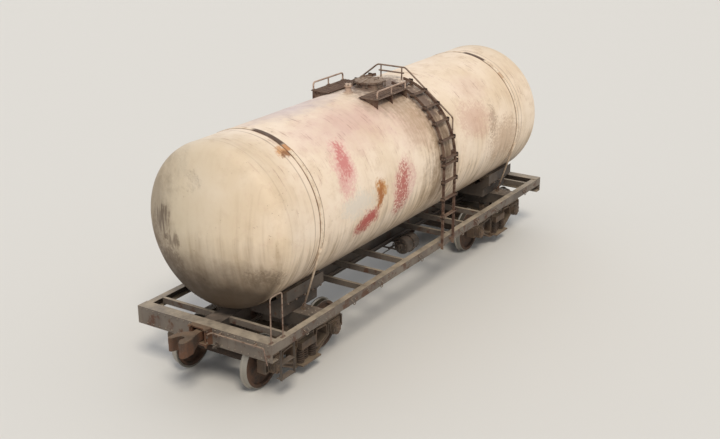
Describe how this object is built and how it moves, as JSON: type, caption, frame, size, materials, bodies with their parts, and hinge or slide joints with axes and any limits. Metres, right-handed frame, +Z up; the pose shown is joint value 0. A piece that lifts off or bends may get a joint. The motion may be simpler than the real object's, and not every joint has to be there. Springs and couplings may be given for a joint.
{
  "type": "four-axle railway tank car",
  "caption": "Cylindrical liquid tank on a sill frame, with two swivelling bogies, curved side ladders, a top platform round a hinged hatch, and swinging couplers.",
  "frame": {"origin": "middle of the car in plan, on the plane under the wheel flanges", "axes": "+X along the car towards end B, +Y to the left side, +Z up"},
  "size_m": [12.296, 3.26, 4.6448],
  "materials": {
    "tank_enamel": "weathered cream enamel, dusty",
    "fitting_paint": "rust-stained paint",
    "ladder_iron": "rusted brown paint",
    "frame_paint": "dirty black-brown frame paint",
    "beam_paint": "dusty light-grey paint",
    "bogie_iron": "cast steel under dust and oil",
    "wheel_steel": "rolled steel, bright tread",
    "spring_steel": "oily spring steel",
    "coupler_iron": "rusty cast steel",
    "timber": "oiled timber, grey with dirt"
  },
  "bodies": {
    "car": {"tank_barrel": "tank_enamel", "manhole_neck": "fitting_paint", "safety_valve": "fitting_paint", "platform_floor": "ladder_iron", "guard_rails": "fitting_paint", "ladder_left": "ladder_iron", "ladder_right": "ladder_iron", "ladder_handrail": "fitting_paint", "strap_a": "tank_enamel", "strap_b": "tank_enamel", "timber_saddles": "timber", "centre_sill": "frame_paint", "body_bolster_a": "frame_paint", "body_bolster_b": "frame_paint", "centre_paws": "frame_paint", "end_beam_a": "beam_paint", "end_beam_b": "beam_paint", "striker_a": "coupler_iron", "striker_b": "coupler_iron", "side_sill_left": "beam_paint", "side_sill_right": "beam_paint", "cross_bearers": "beam_paint", "draft_gears": "frame_paint", "drain_valve": "frame_paint", "brake_cylinder": "frame_paint", "air_reservoir": "frame_paint", "air_distributor": "frame_paint", "brake_pipe": "frame_paint", "pull_rods": "frame_paint", "uncoupling_lever_a": "fitting_paint", "uncoupling_lever_b": "fitting_paint", "footsteps": "frame_paint", "grab_irons": "fitting_paint"},
    "hatch_lid": {"hatch_lid": "fitting_paint"},
    "bogie_a": {"side_frames_a": "bogie_iron", "bogie_bolster_a": "bogie_iron", "springs_a": "spring_steel", "axle_boxes_a": "bogie_iron", "brake_beams_a": "bogie_iron", "brake_levers_a": "bogie_iron"},
    "bogie_b": {"side_frames_b": "bogie_iron", "bogie_bolster_b": "bogie_iron", "springs_b": "spring_steel", "axle_boxes_b": "bogie_iron", "brake_beams_b": "bogie_iron", "brake_levers_b": "bogie_iron"},
    "wheelset_1": {"wheels_1": "wheel_steel", "axle_1": "wheel_steel"},
    "wheelset_2": {"wheels_2": "wheel_steel", "axle_2": "wheel_steel"},
    "wheelset_3": {"wheels_3": "wheel_steel", "axle_3": "wheel_steel"},
    "wheelset_4": {"wheels_4": "wheel_steel", "axle_4": "wheel_steel"},
    "coupler_a": {"coupler_a": "coupler_iron"},
    "coupler_b": {"coupler_b": "coupler_iron"}
  },
  "joints": [
    {"name": "bogie_a_swivel", "type": "hinge", "parent": "car", "child": "bogie_a", "pos_m": [-3.9, 0, 0.804], "axis": [0, 0, 1], "range_deg": [-4, 4]},
    {"name": "bogie_b_swivel", "type": "hinge", "parent": "car", "child": "bogie_b", "pos_m": [3.9, 0, 0.804], "axis": [0, 0, 1], "range_deg": [-4, 4]},
    {"name": "wheelset_1_roll", "type": "hinge", "parent": "bogie_a", "child": "wheelset_1", "pos_m": [-4.825, 0, 0.503], "axis": [0, 1, 0], "continuous": true},
    {"name": "wheelset_2_roll", "type": "hinge", "parent": "bogie_a", "child": "wheelset_2", "pos_m": [-2.975, 0, 0.503], "axis": [0, 1, 0], "continuous": true},
    {"name": "wheelset_3_roll", "type": "hinge", "parent": "bogie_b", "child": "wheelset_3", "pos_m": [2.975, 0, 0.503], "axis": [0, 1, 0], "continuous": true},
    {"name": "wheelset_4_roll", "type": "hinge", "parent": "bogie_b", "child": "wheelset_4", "pos_m": [4.825, 0, 0.503], "axis": [0, 1, 0], "continuous": true},
    {"name": "hatch_lid_hinge", "type": "hinge", "parent": "car", "child": "hatch_lid", "pos_m": [-0.348, 0, 4.498], "axis": [0, -1, 0], "range_deg": [0, 110]},
    {"name": "coupler_a_swing", "type": "hinge", "parent": "car", "child": "coupler_a", "pos_m": [-5.14, 0, 1.088], "axis": [0, 0, 1], "range_deg": [-8, 8]},
    {"name": "coupler_b_swing", "type": "hinge", "parent": "car", "child": "coupler_b", "pos_m": [5.14, 0, 1.088], "axis": [0, 0, 1], "range_deg": [-8, 8]}
  ]
}
